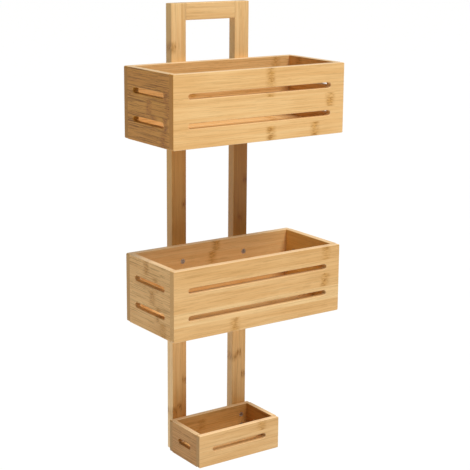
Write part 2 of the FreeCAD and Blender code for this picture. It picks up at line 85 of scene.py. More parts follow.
def linear(colour: str) -> tuple[float, float, float, float]:
    """Turn an sRGB hex colour into linear light.

    Args:
        colour: Six hex digits, such as "E6B77C".

    Returns:
        Linear red, green and blue, and an alpha of one.
    """
    channels = (int(colour[i : i + 2], 16) / 255 for i in (0, 2, 4))
    return (*(c / 12.92 if c <= 0.04045 else ((c + 0.055) / 1.055) ** 2.4 for c in channels), 1.0)


@dataclass
class NodeGraph:
    """A node tree and the one way that nodes are added to it."""

    tree: bpy.types.NodeTree

    def add(
        self,
        kind: str,
        inputs: dict[int | str, object] | None = None,
        output: int | str = 0,
        stops: Stops = (),
        **settings: object,
    ) -> Socket:
        """Add a node, set its properties, and fill or link its inputs.

        Args:
            kind: The node's type, such as "ShaderNodeMath".
            inputs: Values or output sockets, by the input's index or name.
            output: The index or name of the output to hand back.
            stops: Positions and sRGB hex colours, for a node that has a ramp.
            **settings: Properties of the node itself.

        Returns:
            The chosen output socket.
        """
        node = self.tree.nodes.new(kind)
        for name, value in settings.items():
            setattr(node, name, value)
        for key, value in (inputs or {}).items():
            if isinstance(value, Socket):
                self.tree.links.new(value, node.inputs[key])
            else:
                node.inputs[key].default_value = value
        for _ in stops[2:]:
            node.color_ramp.elements.new(0.5)
        for element, (position, shade) in zip(node.color_ramp.elements if stops else (), stops):
            element.position = position
            element.color = linear(shade)
        return node.outputs[output]


class Shader(NodeGraph):
    """A new material's nodes."""

    def __init__(self, name: str) -> None:
        """Make an empty material with a Principled surface.

        Args:
            name: The material's name.
        """
        self.material = bpy.data.materials.new(name)
        self.material.use_nodes = True
        super().__init__(self.material.node_tree)
        self.surface = self.tree.nodes["Principled BSDF"]

    def finish(self, links: dict[str, Socket], **constants: object) -> bpy.types.Material:
        """Link and set the Principled surface's own sockets.

        Args:
            links: Sockets that vary over the surface, by the surface's input name.
            **constants: Plain values, by input name with underscores for spaces.

        Returns:
            The finished material.
        """
        for name, socket in links.items():
            self.tree.links.new(socket, self.surface.inputs[name])
        for name, value in constants.items():
            self.surface.inputs[name.replace("_", " ")].default_value = value
        return self.material


# ---------------------------------------------------------------- finishes


@dataclass(frozen=True)
class Ramp:
    """A stretch of a pattern's values, from start to stop, and what its two ends become."""

    start: float
    stop: float
    low: float = 0.0
    high: float = 1.0

    def of(self, value: Socket) -> dict[int | str, object]:
        """Give a Map Range node's inputs for value."""
        ends = {"From Min": self.start, "From Max": self.stop, "To Min": self.low, "To Max": self.high}
        return {"Value": value, **ends}


@dataclass(frozen=True)
class Grain:
    """A noise pattern drawn out along the grain: its length and width, and its finer octaves."""

    length: float
    width: float
    detail: float


@dataclass(frozen=True)
class LacqueredBamboo:
    """Strip bamboo: culms split into flat strips, pressed side by side, sanded and clear lacquered.

    The strips keep their own tone, so a board shows straight bands of cream to honey. Fibre bundles
    draw fine darker lines along each strip. Where the culm had a joint, the lines swirl and a patch of
    short brown dashes crosses the strip. Sawn, sanded and rounded edges are paler, partly from the
    sanding and partly as a painted highlight. End grain is darker because it drinks the lacquer, which
    is thin and satin, so highlights are broad and soft.
    """

    name: str
    pale: str = "F1CB8F"
    honey: str = "E4B575"
    deep: str = "D49F5A"
    fibre: str = "8A5E00"
    joint: str = "844E00"
    joint_halo: str = "CA8C1E"
    sanded_edge_highlight: str = "FFE6BE"
    end_ground: str = "CBA266"
    end_bundle: str = "A67C44"

    # Patterns. Fibre bundles are about 0.4 mm wide, and drawn coarser to show from two metres off.
    sway: Grain = Grain(24 * MM, 9 * MM, 2.0)
    swirl: Grain = Grain(12 * MM, 8 * MM, 2.0)
    streak: Grain = Grain(130 * MM, 5 * MM, 3.0)
    fibres: Grain = Grain(65 * MM, 1.3 * MM, 3.0)
    drift: Grain = Grain(90 * MM, 45 * MM, 1.0)
    dashes: Grain = Grain(7 * MM, 1.5 * MM, 3.0)
    bundle_spacing: float = 1.1 * MM
    bundle_stretch: float = 0.1
    bundle_disorder: float = 0.8
    strip_shift: tuple[float, float, float] = (31.0, 57.0, 23.0)

    # Joints: how far one reaches along the strip, and how far its middle wanders there.
    joint_reach: float = 12 * MM
    joint_wander: float = 3.5 * MM
    joint_patches: Ramp = Ramp(0.36, 0.60, 0.45)
    joint_dashes: Ramp = Ramp(0.44, 0.60, 0.08)
    mark_depth: float = 0.7
    halo_depth: float = 0.5
    ripple: float = 1.6 * MM
    swirl_lift: float = 4.5 * MM

    # The body colour's level from 0 to 1, as a sum of the strip's tone and two patterns.
    level_base: float = -0.13
    tone_share: float = 0.46
    streak_share: float = 0.55
    drift_share: float = 0.28
    deep_at: float = 0.18
    honey_at: float = 0.5
    pale_at: float = 0.82
    fibre_lines: Ramp = Ramp(0.48, 0.66, 0.0, 0.22)

    # By how squarely a surface faces along the board's axes.
    end_grain: Ramp = Ramp(0.62, 0.86, 0.0, 0.7)
    # Rounded edges are paler, partly from sanding and partly as a painted highlight.
    rounded_edge_highlight: Ramp = Ramp(0.98, 0.76, 0.0, 0.35)
    bundle_edge: tuple[float, float] = (0.16, 0.42)

    # Satin lacquer on sanded wood, typical values.
    roughness: Ramp = Ramp(0.3, 0.7, 0.40, 0.54)
    streak_relief: float = 0.4
    relief_strength: float = 0.35
    grain_depth: float = 0.10 * MM
    ior: float = 1.5
    specular: float = 0.3
    coat: float = 0.04
    coat_roughness: float = 0.32

    def _noises(self, s: Shader, place: Socket, shift: Socket, *names: str) -> dict[str, Socket]:
        """Draw patterns out along the grain, with every strip in its own part of them.

        Args:
            s: The material's nodes.
            place: Where on the board.
            shift: How far the strip is moved in every pattern.
            *names: Which of the patterns.

        Returns:
            Each pattern's value, by its name.
        """
        noises = {}
        for name in names:
            grain: Grain = getattr(self, name)
            scale = (1 / grain.length, 1 / grain.width, 1 / grain.width)
            where = s.add("ShaderNodeVectorMath", {0: place, 1: scale, 2: shift}, operation="MULTIPLY_ADD")
            settings = {"Vector": where, "Scale": 1.0, "Detail": grain.detail}
            noises[name] = s.add("ShaderNodeTexNoise", settings)
        return noises

    def _joint(
        self, s: Shader, place: Socket, noise: dict[str, Socket], carried: dict[str, Socket]
    ) -> Socket:
        """Work out how much of a joint shows, from its distance along a line that wanders.

        Args:
            s: The material's nodes.
            place: Where on the board.
            noise: The sway and swirl patterns.
            carried: What the mesh carries.

        Returns:
            The joint's strength, from 0 to 1.
        """
        along = s.add("ShaderNodeSeparateXYZ", {0: place}, output="X")
        wander = {0: noise["sway"], 1: self.joint_wander, 2: along}
        along = s.add("ShaderNodeMath", wander, operation="MULTIPLY_ADD")
        along = s.add("ShaderNodeMath", {0: along, 1: self.joint_wander / 2}, operation="SUBTRACT")
        away = []
        for name in ("joint_a", "joint_b"):
            gap = s.add("ShaderNodeMath", {0: along, 1: carried[name]}, operation="SUBTRACT")
            away.append(s.add("ShaderNodeMath", {0: gap}, operation="ABSOLUTE"))
        nearest = s.add("ShaderNodeMath", {0: away[0], 1: away[1]}, operation="MINIMUM")
        reach = Ramp(self.joint_reach, 0.0)
        near = s.add("ShaderNodeMapRange", reach.of(nearest), interpolation_type="SMOOTHSTEP")
        patchy = s.add("ShaderNodeMapRange", self.joint_patches.of(noise["swirl"]))
        near = s.add("ShaderNodeMath", {0: near, 1: patchy}, operation="MULTIPLY")
        return s.add("ShaderNodeMath", {0: near, 1: carried["joint_strength"]}, operation="MULTIPLY")

    def _rippled(self, s: Shader, place: Socket, near: Socket, swirl: Socket) -> Socket:
        """Bend the lines, a little everywhere and more at a joint.

        Args:
            s: The material's nodes.
            place: Where on the board.
            near: The joint's strength.
            swirl: The pattern that the bends follow.

        Returns:
            The place that the finer patterns are read at.
        """
        lift = {0: near, 1: self.swirl_lift, 2: self.ripple}
        lift = s.add("ShaderNodeMath", lift, operation="MULTIPLY_ADD")
        turn = s.add("ShaderNodeMath", {0: swirl, 1: 0.5}, operation="SUBTRACT")
        turn = s.add("ShaderNodeMath", {0: turn, 1: lift}, operation="MULTIPLY")
        turn = s.add("ShaderNodeCombineXYZ", {1: turn, 2: turn})
        return s.add("ShaderNodeVectorMath", {0: place, 1: turn}, operation="ADD")

    def _body(self, s: Shader, tone: Socket, noise: dict[str, Socket]) -> Socket:
        """Colour the strip: its own tone, moved by slow drift along it and by broad streaks.

        Args:
            s: The material's nodes.
            tone: The strip's tone.
            noise: The streak and drift patterns.

        Returns:
            The colour.
        """
        level = {0: tone, 1: self.tone_share, 2: self.level_base}
        level = s.add("ShaderNodeMath", level, operation="MULTIPLY_ADD")
        for name, share in (("streak", self.streak_share), ("drift", self.drift_share)):
            level = s.add("ShaderNodeMath", {0: noise[name], 1: share, 2: level}, operation="MULTIPLY_ADD")
        stops = ((self.deep_at, self.deep), (self.honey_at, self.honey), (self.pale_at, self.pale))
        return s.add("ShaderNodeValToRGB", {0: level}, stops=stops)

    def _end(self, s: Shader, place: Socket, shift: Socket) -> Socket:
        """Colour the end grain: dark bundle ends in a tan ground.

        Args:
            s: The material's nodes.
            place: Where on the board.
            shift: How far the strip is moved in every pattern.

        Returns:
            The colour.
        """
        spread = 1 / self.bundle_spacing
        cut = {0: place, 1: (spread * self.bundle_stretch, spread, spread), 2: shift}
        cut = s.add("ShaderNodeVectorMath", cut, operation="MULTIPLY_ADD")
        dots = {"Vector": cut, "Scale": 1.0, "Randomness": self.bundle_disorder}
        dots = s.add("ShaderNodeTexVoronoi", dots, output="Distance")
        inside, outside = self.bundle_edge
        stops = ((inside, self.end_bundle), (outside, self.end_ground))
        return s.add("ShaderNodeValToRGB", {0: dots}, stops=stops)

    def _facing(self, s: Shader, sanded: Socket) -> tuple[Socket, Socket]:
        """Tell rounded edges and end grain by which way the surface faces.

        Edges are rounded over with fine paper, which leaves them paler than the face; part of that paleness
        is a painted highlight.

        Args:
            s: The material's nodes.
            sanded: How pale the surface is sanded, partly as a painted highlight.

        Returns:
            How pale the place is, and how much of it is end grain.
        """
        normal = s.add("ShaderNodeTexCoord", output="Normal")
        facing = s.add("ShaderNodeVectorMath", {0: normal}, operation="ABSOLUTE")
        faces = [s.add("ShaderNodeSeparateXYZ", {0: facing}, output=axis) for axis in "XYZ"]
        flat = s.add("ShaderNodeMath", {0: faces[1], 1: faces[2]}, operation="MAXIMUM")
        flat = s.add("ShaderNodeMath", {0: flat, 1: faces[0]}, operation="MAXIMUM")
        eased = s.add("ShaderNodeMapRange", self.rounded_edge_highlight.of(flat))
        eased = s.add("ShaderNodeMath", {0: eased, 1: sanded}, operation="MAXIMUM")
        return eased, s.add("ShaderNodeMapRange", self.end_grain.of(faces[0]))

    def material(self) -> bpy.types.Material:
        """Build the material, which reads what each board's mesh carries.

        Returns:
            The finished material.
        """
        s = Shader(self.name)
        place = s.add("ShaderNodeTexCoord", output="Object")
        kinds = {name: "Fac" for name in Board.FACE_VALUES} | {Board.TINT: "Color"}
        carried = {
            name: s.add("ShaderNodeAttribute", output=kind, attribute_name=name)
            for name, kind in kinds.items()
        }
        tone = carried["strip_tone"]
        shift = s.add("ShaderNodeCombineXYZ", {0: tone, 1: tone, 2: tone})
        shift = s.add("ShaderNodeVectorMath", {0: shift, 1: self.strip_shift}, operation="MULTIPLY")

        noise = self._noises(s, place, shift, "sway", "swirl")
        near = self._joint(s, place, noise, carried)
        rippled = self._rippled(s, place, near, noise["swirl"])
        noise |= self._noises(s, rippled, shift, "streak", "fibres", "drift", "dashes")

        line = s.add("ShaderNodeMapRange", self.fibre_lines.of(noise["fibres"]))
        line = {0: line, 1: carried["figure"]}
        line = s.add("ShaderNodeMath", line, operation="MULTIPLY", use_clamp=True)
        dash = s.add("ShaderNodeMapRange", self.joint_dashes.of(noise["dashes"]))
        mark = s.add("ShaderNodeMath", {0: near, 1: dash}, operation="MULTIPLY")
        mark = s.add("ShaderNodeMath", {0: mark, 1: self.mark_depth}, operation="MULTIPLY")
        halo = s.add("ShaderNodeMath", {0: near, 1: self.halo_depth}, operation="MULTIPLY")
        eased, is_end = self._facing(s, carried["sanded"])

        body = self._body(s, tone, noise)
        # Fibres, joints and end grain are the wood's own; the pale edges are partly a painted highlight.
        for factor, colour in (
            (line, linear(self.fibre)),
            (halo, linear(self.joint_halo)),
            (mark, linear(self.joint)),
            (eased, linear(self.sanded_edge_highlight)),
            (is_end, self._end(s, place, shift)),
        ):
            layers = {"Factor": factor, MIX_A: body, MIX_B: colour}
            body = s.add("ShaderNodeMix", layers, output=MIX_RESULT, data_type="RGBA")
        # Multiply by the board's tint, which paints shade where it is darker than white.
        layers = {"Factor": 1.0, MIX_A: body, MIX_B: carried[Board.TINT]}
        tinted = {"data_type": "RGBA", "blend_type": "MULTIPLY"}
        body = s.add("ShaderNodeMix", layers, output=MIX_RESULT, **tinted)

        gloss = s.add("ShaderNodeMapRange", self.roughness.of(noise["fibres"]))
        height = {0: noise["streak"], 1: self.streak_relief, 2: noise["fibres"]}
        height = s.add("ShaderNodeMath", height, operation="MULTIPLY_ADD")
        relief = {"Height": height, "Strength": self.relief_strength, "Distance": self.grain_depth}
        relief = s.add("ShaderNodeBump", relief, invert=True)
        return s.finish(
            {"Base Color": body, "Roughness": gloss, "Normal": relief},
            IOR=self.ior,
            Specular_IOR_Level=self.specular,
            Coat_Weight=self.coat,
            Coat_Roughness=self.coat_roughness,
        )


@dataclass(frozen=True)
class TurnedBirch:
    """Birch dowel rod, turned and left bare, so it is pale and quite dull with faint long lines."""

    name: str
    pale: str = "E2C79C"
    dark: str = "C6A472"
    dark_at: float = 0.35
    pale_at: float = 0.65
    lines: Grain = Grain(12 * MM, 0.6 * MM, 2.0)
    roughness: Ramp = Ramp(0.0, 1.0, 0.6, 0.75)
    ior: float = 1.5

    def material(self) -> bpy.types.Material:
        """Build the material; rods lie level, so the lines are long in both level directions.

        Returns:
            The finished material.
        """
        s = Shader(self.name)
        place = s.add("ShaderNodeTexCoord", output="Object")
        scale = (1 / self.lines.length, 1 / self.lines.length, 1 / self.lines.width)
        place = s.add("ShaderNodeVectorMath", {0: place, 1: scale}, operation="MULTIPLY")
        lines = {"Vector": place, "Scale": 1.0, "Detail": self.lines.detail}
        lines = s.add("ShaderNodeTexNoise", lines)
        stops = ((self.dark_at, self.dark), (self.pale_at, self.pale))
        colour = s.add("ShaderNodeValToRGB", {0: lines}, stops=stops)
        dull = s.add("ShaderNodeMapRange", self.roughness.of(lines))
        return s.finish({"Base Color": colour, "Roughness": dull}, IOR=self.ior)


@dataclass(frozen=True)
class StainlessScrew:
    """Stainless steel screw, cold headed and tumbled, so its head is bright grey and softly scuffed."""

    name: str
    bright: str = "DEDBD4"
    scuffed: str = "B4B0A8"
    scuffed_at: float = 0.3
    bright_at: float = 0.62
    scuff_width: float = 0.8 * MM
    scuff_detail: float = 4.0
    roughness: Ramp = Ramp(0.0, 1.0, 0.52, 0.36)

    def material(self) -> bpy.types.Material:
        """Build the material.

        Returns:
            The finished material.
        """
        s = Shader(self.name)
        place = s.add("ShaderNodeTexCoord", output="Object")
        scuffs = {"Vector": place, "Scale": 1 / self.scuff_width, "Detail": self.scuff_detail}
        scuffs = s.add("ShaderNodeTexNoise", scuffs)
        stops = ((self.scuffed_at, self.scuffed), (self.bright_at, self.bright))
        colour = s.add("ShaderNodeValToRGB", {0: scuffs}, stops=stops)
        rough = s.add("ShaderNodeMapRange", self.roughness.of(scuffs))
        return s.finish({"Base Color": colour, "Roughness": rough}, Metallic=1.0)


@dataclass(frozen=True)
class PaperSweep:
    """Matt white studio paper, whose faint uneven tooth barely shows."""

    name: str
    light: str = "FEFEFE"
    shade: str = "FCFCFB"
    shade_at: float = 0.35
    light_at: float = 0.65
    tooth_width: float = 80 * MM
    tooth_detail: float = 3.0
    roughness: float = 0.9

    def material(self) -> bpy.types.Material:
        """Build the material.

        Returns:
            The finished material.
        """
        s = Shader(self.name)
        place = s.add("ShaderNodeTexCoord", output="Object")
        tooth = {"Vector": place, "Scale": 1 / self.tooth_width, "Detail": self.tooth_detail}
        tooth = s.add("ShaderNodeTexNoise", tooth)
        stops = ((self.shade_at, self.shade), (self.light_at, self.light))
        paper = s.add("ShaderNodeValToRGB", {0: tooth}, stops=stops)
        return s.finish({"Base Color": paper}, Roughness=self.roughness)


# ---------------------------------------------------------------- boards


class Way(Enum):
    """A direction in the caddy."""

    RIGHT = (1, 0, 0)
    LEFT = (-1, 0, 0)
    BACK = (0, 1, 0)
    FRONT = (0, -1, 0)
    UP = (0, 0, 1)
    DOWN = (0, 0, -1)


class Butt(Enum):
    """Which of a board's end edges meet another board, so that they stay crisp."""

    NOWHERE = 0
    BOTH_ENDS = 1
    ENDS_OF_SHOW_FACE = 2
    ENDS_OF_BACK_FACE = 3


@dataclass(frozen=True)
class Strip:
    """One bamboo strip of a board: its tone from 0, deep, to 1, pale, and its joints along the grain.

    strength is how much of its joints the planer has left in sight, from 0 to 1.
    """

    tone: float
    joints: tuple[float, ...] = ()
    strength: float = 1.0


class Side(Enum):
    """Which of a board's surfaces a place is on."""

    FACE = "show face"
    BACK = "back face"
    EDGE = "edge"
    END = "end"


@dataclass(frozen=True)
class Character:
    """What sets one board apart from the next, and the shade painted on it.

    The shades are positions along the grain and the tint there, for the show face, the back face, the
    long edges and the end grain; one that is empty follows the show face. A tint darker than white is
    painted shade. figure is how strongly the fibres show, and sanded how pale the edges are, which is
    partly sanding and partly a painted highlight.
    """

    shades: Stops = ((0.0, "FFFFFF"),)
    back_shades: Stops = ()
    edge_shades: Stops = ()
    end_shades: Stops = ()
    figure: float = 1.0
    sanded: float = 0.0

    def tint(self, along: float, side: Side) -> list[float]:
        """Work out the tint at one place.

        Args:
            along: Position along the grain.
            side: Which of the board's surfaces the place is on.

        Returns:
            Linear red, green, blue and alpha.
        """
        kept = {Side.BACK: self.back_shades, Side.EDGE: self.edge_shades, Side.END: self.end_shades}
        stops = kept.get(side) or self.shades
        if along <= stops[0][0]:
            return list(linear(stops[0][1]))
        for (start, before), (stop, after) in zip(stops, stops[1:]):
            if along <= stop:
                part = (along - start) / (stop - start)
                return [a + (b - a) * part for a, b in zip(linear(before), linear(after))]
        return list(linear(stops[-1][1]))


def wall_character(shade: str, back_shade: str, end_shade: str, figure: float) -> Character:
    """Describe a basket wall, whose edges are sanded pale, partly as a painted highlight, and whose
    darker tints are painted shade.

    Args:
        shade: Tint of its show face.
        back_shade: Tint of its other broad face.
        end_shade: Tint of its end grain.
        figure: How strongly its fibres show.

    Returns:
        The wall's character.
    """
    white = ((0.0, "FFFFFF"),)
    return Character(((0.0, shade),), ((0.0, back_shade),), white, ((0.0, end_shade),), figure, sanded=0.45)


@dataclass(frozen=True)
class Opening:
    """A round-ended hole through a board.

    u and v are its centre, reach is half its straight length, and radius is half its height. margin is
    the width of the ring of faces round it, and sink how much wider it is at the show face, where a
    screw head sits.
    """

    u: float
    v: float
    reach: float
    radius: float
    margin: float
    sink: float = 0.0

    CAP_STEPS: ClassVar[int] = 16  # steps round each end

    @property
    def half_block(self) -> float:
        """Half the height of the block of faces that surrounds the hole."""
        return self.radius + self.sink + self.margin

    def columns(self, spacing: float) -> list[float]:
        """Place the grid's columns along the straight run.

        Args:
            spacing: Wanted distance between columns.

        Returns:
            Their positions, from left to right.
        """
        if self.reach == 0:
            return [self.u]
        count = max(2, round(2 * self.reach / spacing))
        return [self.u - self.reach + 2 * self.reach * i / count for i in range(count + 1)]

    def grid_lines(self, spacing: float) -> tuple[list[float], list[float]]:
        """List the grid lines that the block needs.

        Args:
            spacing: Wanted distance between columns.

        Returns:
            Lines along u and lines along v.
        """
        block, quarter = self.half_block, self.CAP_STEPS // 4
        steps = [sign * block * i / quarter for i in range(1, quarter + 1) for sign in (-1, 1)]
        along = [self.u + math.copysign(self.reach, step) + step for step in steps]
        return along + self.columns(spacing), [self.v] + [self.v + step for step in steps]

    def holds(self, u: float, v: float) -> bool:
        """Whether a point is inside the block."""
        return abs(u - self.u) < self.reach + self.half_block and abs(v - self.v) < self.half_block

    def ring(self, spacing: float) -> list[tuple[tuple[float, float], tuple[float, float], float]]:
        """Walk round the hole's rim, anticlockwise.

        Args:
            spacing: Wanted distance between columns.

        Returns:
            For each step round, the point on the block, the centre that the rim point turns about,
            and its angle there.
        """
        steps, block = self.CAP_STEPS, self.half_block
        quarter = steps // 4
        points = []
        # First the upper run leftwards and the left end, then the lower run and the right end.
        for side in (-1, 1):
            columns = self.columns(spacing)
            centre = self.u + side * self.reach
            for column in (columns[:0:-1] if side < 0 else columns[:-1]):
                points.append(((column, self.v - side * block), (column, self.v), -side * math.pi / 2))
            for k in range(steps):
                if k < quarter:
                    out, up = k / quarter, 1.0
                elif k <= 3 * quarter:
                    out, up = 1.0, 1.0 - (k - quarter) / quarter
                else:
                    out, up = 1.0 - (k - 3 * quarter) / quarter, -1.0
                angle = -side * math.pi / 2 + math.pi * k / steps
                place = (centre + side * out * block, self.v - side * up * block)
                points.append((place, (centre, self.v), angle))
        return points


@dataclass
class Board:
    """A board pressed from bamboo strips, with round-ended openings and eased edges.

    nodes are the frame's nodes that it stands for, and the first one's box gives its size and place.
    ease is how far its edges are rounded, and corner how far its upright corners are, if that differs.
    """

    FACE_VALUES: ClassVar[tuple[str, ...]] = (
        "strip_tone",
        "joint_a",
        "joint_b",
        "joint_strength",
        "figure",
        "sanded",
    )
    # Each corner's tint; where it is darker than white it is painted shade.
    TINT: ClassVar[str] = "board_tint"
    EASING: ClassVar[str] = "bevel_weight_edge"

    name: str
    nodes: tuple[str, ...]
    slot: str
    grain: Way
    show: Way
    ease: float
    strips: Sequence[Strip]
    strip_width: float = 0.0  # none, for a board that is one strip
    first_seam: float = 0.0
    openings: Sequence[Opening] = ()
    butt: Butt = Butt.NOWHERE
    character: Character = Character()
    corner: float = 0.0
    spacing: float = 12 * MM
    overrun: float = 0.25  # share of the spacing that a gap may be over it
    seam_depth: float = 0.08 * MM
    seam_half_width: float = 0.30 * MM
    hairline: float = 0.12 * MM
    narrowest_strip: float = 2 * MM
    ease_segments: int = 3
    ease_angle: float = 0.5  # radians; what turns less isn't an edge
    weld: float = 1e-7
    size: Vector = field(init=False)
    matrix: Matrix = field(init=False)
    seams: list[float] = field(init=False)

    def __post_init__(self) -> None:
        """Work out the board's own axes and size from the box of the node that it stands for."""
        low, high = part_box(self.nodes[0])
        along, out = Vector(self.grain.value), Vector(self.show.value)
        across = out.cross(along)
        corner = Vector(low[k] if along[k] + across[k] + out[k] > 0 else high[k] for k in range(3))
        span = high - low
        self.size = Vector(abs(span.dot(axis)) for axis in (along, across, out))
        turn = Matrix((along, across, out)).transposed().to_4x4()
        self.matrix = Matrix.Translation(corner) @ turn
        self.seams = []
        height = self.first_seam
        while self.strip_width > 0 and height < self.size.y - self.narrowest_strip:
            self.seams.append(height)
            height += self.strip_width

    def lines(self) -> tuple[list[float], list[float]]:
        """Choose the grid lines of the board's face.

        Returns:
            Lines along the grain and lines across it.
        """
        along, across = [0.0, self.size.x], [0.0, self.size.y]
        for opening in self.openings:
            u_lines, v_lines = opening.grid_lines(self.spacing)
            along += u_lines
            across += v_lines
        for seam in self.seams:
            across += [seam - self.seam_half_width, seam, seam + self.seam_half_width]
        return self._filled(along), self._filled(across)

    def _filled(self, lines: Iterable[float]) -> list[float]:
        """Sort grid lines, drop repeats, and divide gaps that are wider than the spacing.

        Args:
            lines: The lines that must be kept.

        Returns:
            Those lines and the new ones, in order.
        """
        ordered = sorted(lines)
        kept = [ordered[0]] + [b for a, b in zip(ordered, ordered[1:]) if b - a > SAME_PLACE]
        filled = [kept[0]]
        for start, stop in zip(kept, kept[1:]):
            count = max(1, math.ceil((stop - start) / self.spacing - self.overrun))
            filled += [start + (stop - start) * i / count for i in range(1, count + 1)]
        return filled

    def mesh(self) -> bpy.types.Mesh:
        """Build the board's quads, and mark how much each edge is eased.

        Returns:
            The board's mesh, in its own coordinates.
        """
        bm = bmesh.new()
        bm.edges.layers.float.new(self.EASING)
        bm.loops.layers.float_color.new(self.TINT)
        for name in self.FACE_VALUES:
            bm.faces.layers.float.new(name)
        u_lines, v_lines = self.lines()
        points: dict[tuple[int, int, int], Vert] = {}

        def vert(u: float, v: float, w: float) -> Vert:
            """Find the vertex at a place, or make it the first time that it is asked for.

            Args:
                u: Place along the grain.
                v: Place across the strips.
                w: Place through the thickness.

            Returns:
                The vertex.
            """
            key = (round(u / self.weld), round(v / self.weld), round(w / self.weld))
            if key not in points:
                points[key] = bm.verts.new((u, v, w))
            return points[key]

        def face(places: Iterable[tuple[float, float, bool]]) -> None:
            """Make a face from places on the two broad faces, which dip at a glue line.

            Args:
                places: Along, across, and whether it is the show face, for each corner.
            """
            corners = []
            for u, v, top in places:
                in_groove = any(abs(v - seam) < SAME_PLACE for seam in self.seams)
                dip = self.seam_depth if in_groove else 0.0
                corners.append(vert(u, v, self.size.z - dip if top else dip))
            bm.faces.new(corners)

        for a, b in zip(u_lines, u_lines[1:]):
            for c, d in zip(v_lines, v_lines[1:]):
                if not any(opening.holds((a + b) / 2, (c + d) / 2) for opening in self.openings):
                    face([(a, c, True), (b, c, True), (b, d, True), (a, d, True)])
                    face([(a, d, False), (b, d, False), (b, c, False), (a, c, False)])
        for a, b in zip(u_lines, u_lines[1:]):
            for v, start, stop in ((0.0, a, b), (self.size.y, b, a)):
                face([(start, v, False), (stop, v, False), (stop, v, True), (start, v, True)])
        for c, d in zip(v_lines, v_lines[1:]):
            for u, start, stop in ((0.0, d, c), (self.size.x, c, d)):
                face([(u, start, False), (u, stop, False), (u, stop, True), (u, start, True)])
        rims = [edge for opening in self.openings for edge in self._open(bm, vert, opening)]
        bmesh.ops.recalc_face_normals(bm, faces=bm.faces)
        bm.normal_update()
        self._ease(bm, rims)
        self._dress(bm)
        mesh = bpy.data.meshes.new(self.name)
        bm.to_mesh(mesh)
        bm.free()
        return mesh

    def _open(
        self,
        bm: bmesh.types.BMesh,
        vert: Callable[[float, float, float], Vert],
        opening: Opening,
    ) -> list[tuple[Edge, float]]:
        """Make one opening: the faces round it and its wall.

        Args:
            bm: The board's mesh.
            vert: Finds or makes a vertex.
            opening: The opening to make.

        Returns:
            The rim's edges, each with how far it is eased.
        """
        ring = opening.ring(self.spacing)
        wide, narrow = opening.radius + opening.sink, opening.radius
        top, low = self.size.z, 0.0

        def rim(step: int, radius: float, w: float) -> Vert:
            """Find or make a vertex on the opening's wall.

            Args:
                step: Which step round the ring.
                radius: How far from the ring's centre line.
                w: Place through the thickness.

            Returns:
                The vertex.
            """
            _, (u, v), angle = ring[step]
            return vert(u + radius * math.cos(angle), v + radius * math.sin(angle), w)

        levels = [(wide, top), (narrow, low)]
        if opening.sink:
            levels.insert(1, (narrow, top - opening.sink))
        edges = []
        for step, ((u0, v0), _, _) in enumerate(ring):
            after = (step + 1) % len(ring)
            u1, v1 = ring[after][0]
            bm.faces.new([vert(u0, v0, top), vert(u1, v1, top), rim(after, wide, top), rim(step, wide, top)])
            low_rim = [rim(step, narrow, low), rim(after, narrow, low)]
            bm.faces.new([vert(u1, v1, low), vert(u0, v0, low), *low_rim])
            for (r0, w0), (r1, w1) in zip(levels, levels[1:]):
                bm.faces.new([rim(step, r0, w0), rim(after, r0, w0), rim(after, r1, w1), rim(step, r1, w1)])
            for radius, w in (levels[0], levels[-1]):
                edge = bm.edges.get((rim(step, radius, w), rim(after, radius, w)))
                edges.append((edge, self.hairline if opening.sink else self.ease))
        return edges

    def _ease(self, bm: bmesh.types.BMesh, rims: Iterable[tuple[Edge, float]]) -> None:
        """Write each edge's share of the easing, and keep glue lines sharp.

        Args:
            bm: The board's mesh.
            rims: The openings' edges, each with how far it is eased.
        """
        weight = bm.edges.layers.float[self.EASING]
        widest = max(self.ease, self.corner)
        skin = self.seam_depth + SAME_PLACE
        for edge in bm.edges:
            middle = (edge.verts[0].co + edge.verts[1].co) / 2
            sides = [k for k in range(3) if middle[k] < skin or middle[k] > self.size[k] - skin]
            if len(sides) == 2 and edge.calc_face_angle(0.0) > self.ease_angle:
                at_end, on_face, on_show = 0 in sides, 2 in sides, middle.z > self.size.z / 2
                butts = {
                    Butt.NOWHERE: False,
                    Butt.BOTH_ENDS: True,
                    Butt.ENDS_OF_SHOW_FACE: on_face and on_show,
                    Butt.ENDS_OF_BACK_FACE: on_face and not on_show,
                }
                full = self.corner if self.corner and not on_face else self.ease
                edge[weight] = (self.hairline if at_end and butts[self.butt] else full) / widest
            groove = min((abs(middle.y - seam) for seam in self.seams), default=FAR_AWAY)
            runs_along = abs(edge.verts[0].co.y - edge.verts[1].co.y) < SAME_PLACE
            if runs_along and groove < self.seam_half_width + SAME_PLACE:
                edge.smooth = False
        for edge, width in rims:
            edge[weight] = width / widest

    def _side(self, place: Vector) -> Side:
        """Tell which of the board's surfaces the middle of a face is on.

        Args:
            place: The face's middle.

        Returns:
            The surface. The wall of an opening counts as the show face.
        """
        if not SAME_PLACE < place.y < self.size.y - SAME_PLACE:
            return Side.EDGE
        if not SAME_PLACE < place.x < self.size.x - SAME_PLACE:
            return Side.END
        return Side.BACK if place.z < self.seam_depth else Side.FACE

    def _dress(self, bm: bmesh.types.BMesh) -> None:
        """Write what the finish reads: each face's strip, and its tint and edges.

        Args:
            bm: The board's mesh.
        """
        layers = [bm.faces.layers.float[name] for name in self.FACE_VALUES]
        tint = bm.loops.layers.float_color[self.TINT]
        for face in bm.faces:
            middle = face.calc_center_median()
            strip = self.strips[min(sum(middle.y > seam for seam in self.seams), len(self.strips) - 1)]
            joint_a, joint_b = (*strip.joints, FAR_AWAY, FAR_AWAY)[:2]
            side = self._side(middle)
            sanded = self.character.sanded if side is Side.EDGE else 0.0
            values = (strip.tone, joint_a, joint_b, strip.strength, self.character.figure, sanded)
            for layer, value in zip(layers, values):
                face[layer] = value
            face.smooth = True
            for loop in face.loops:
                loop[tint] = self.character.tint(loop.vert.co.x, side)

